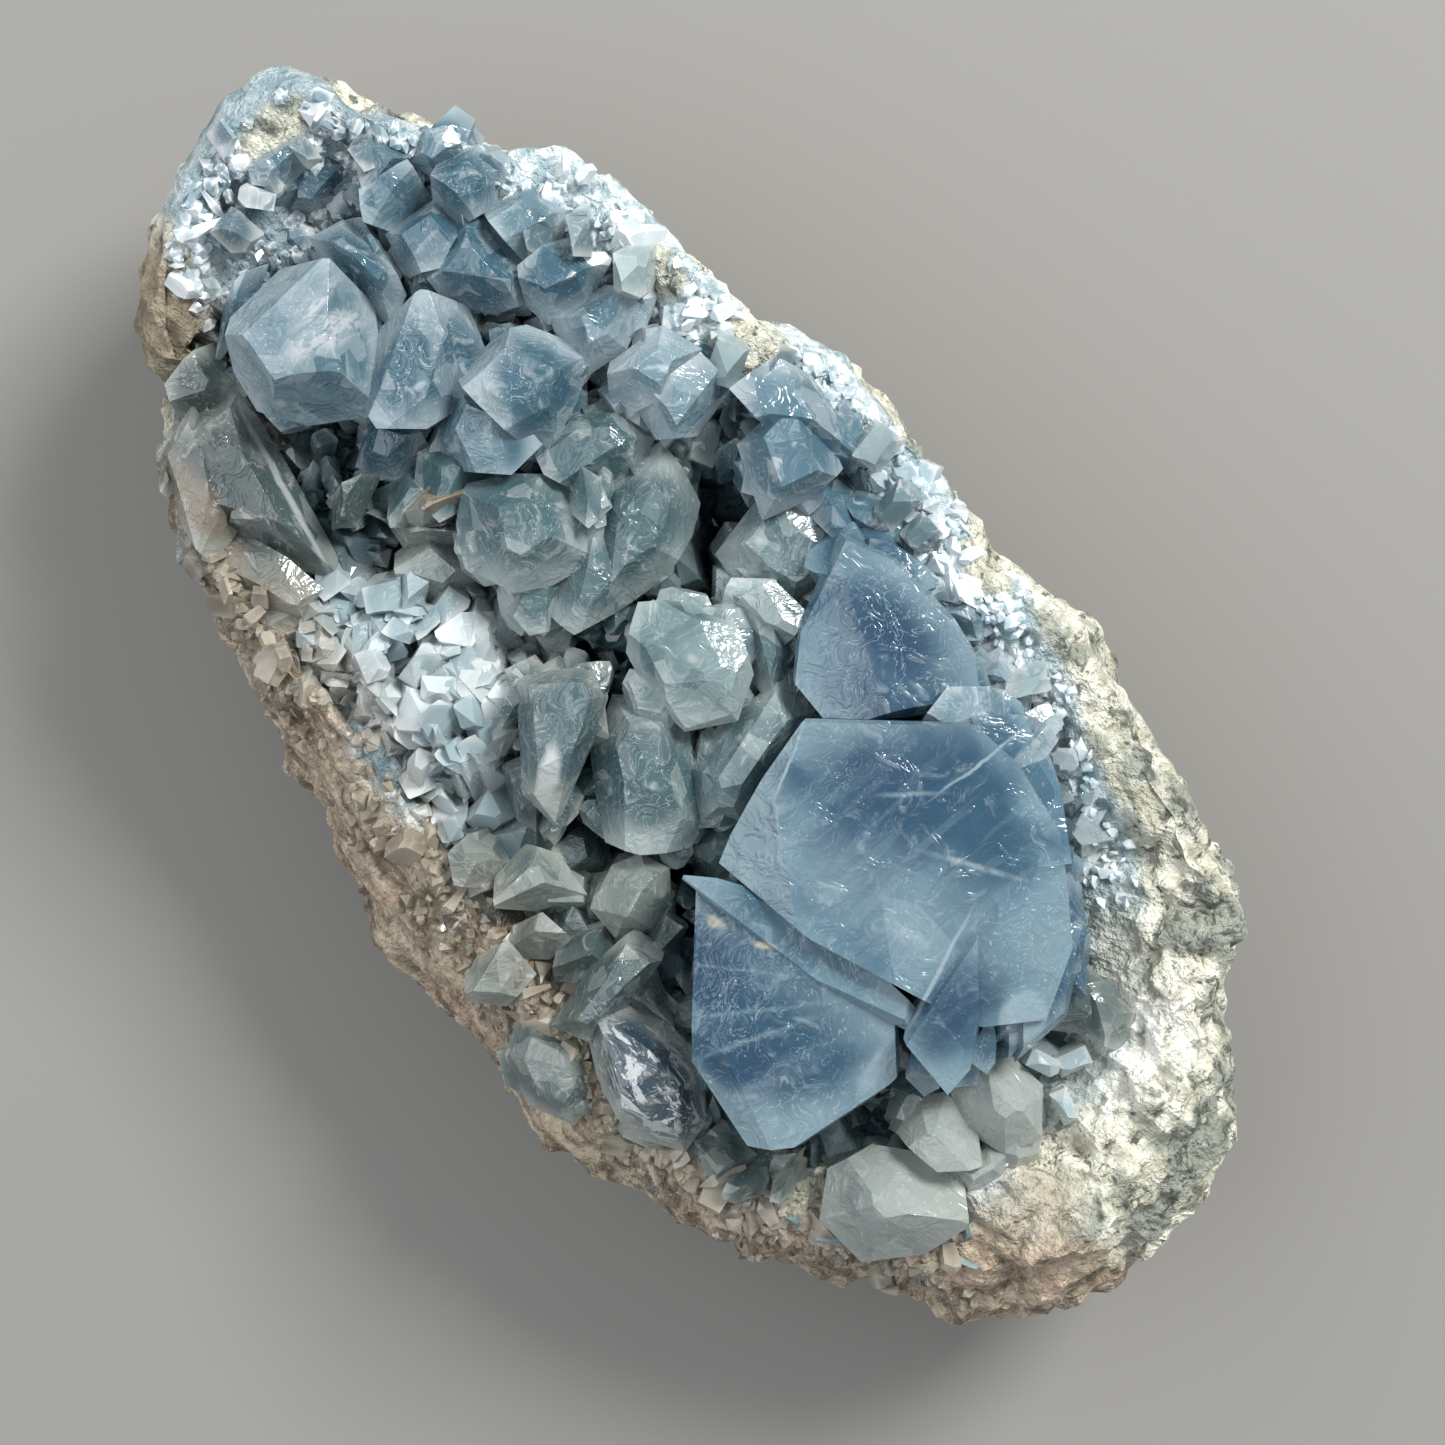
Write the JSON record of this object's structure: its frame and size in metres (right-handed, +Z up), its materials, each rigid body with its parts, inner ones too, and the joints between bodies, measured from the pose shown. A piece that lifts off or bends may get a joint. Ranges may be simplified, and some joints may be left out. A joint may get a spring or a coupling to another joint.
{
  "type": "celestite crystal cluster",
  "caption": "Half of a pale rock nodule lying on its back, its hollow filled with translucent blue crystals and its rim covered with small ones.",
  "frame": {"origin": "middle of the bounding box, on the ground that the stone lies on", "axes": "+X along the length towards the blunt end with the largest crystals, +Y across it, +Z up out of the hollow"},
  "size_m": [0.1736, 0.0894, 0.0589],
  "materials": {
    "rock": "rough, granular marl with a darker rind",
    "crystal": "clear to milky blue, glassy faces"
  },
  "bodies": {
    "root": {"rock_shell": "rock", "crystal_crust": "crystal"}
  },
  "joints": []
}
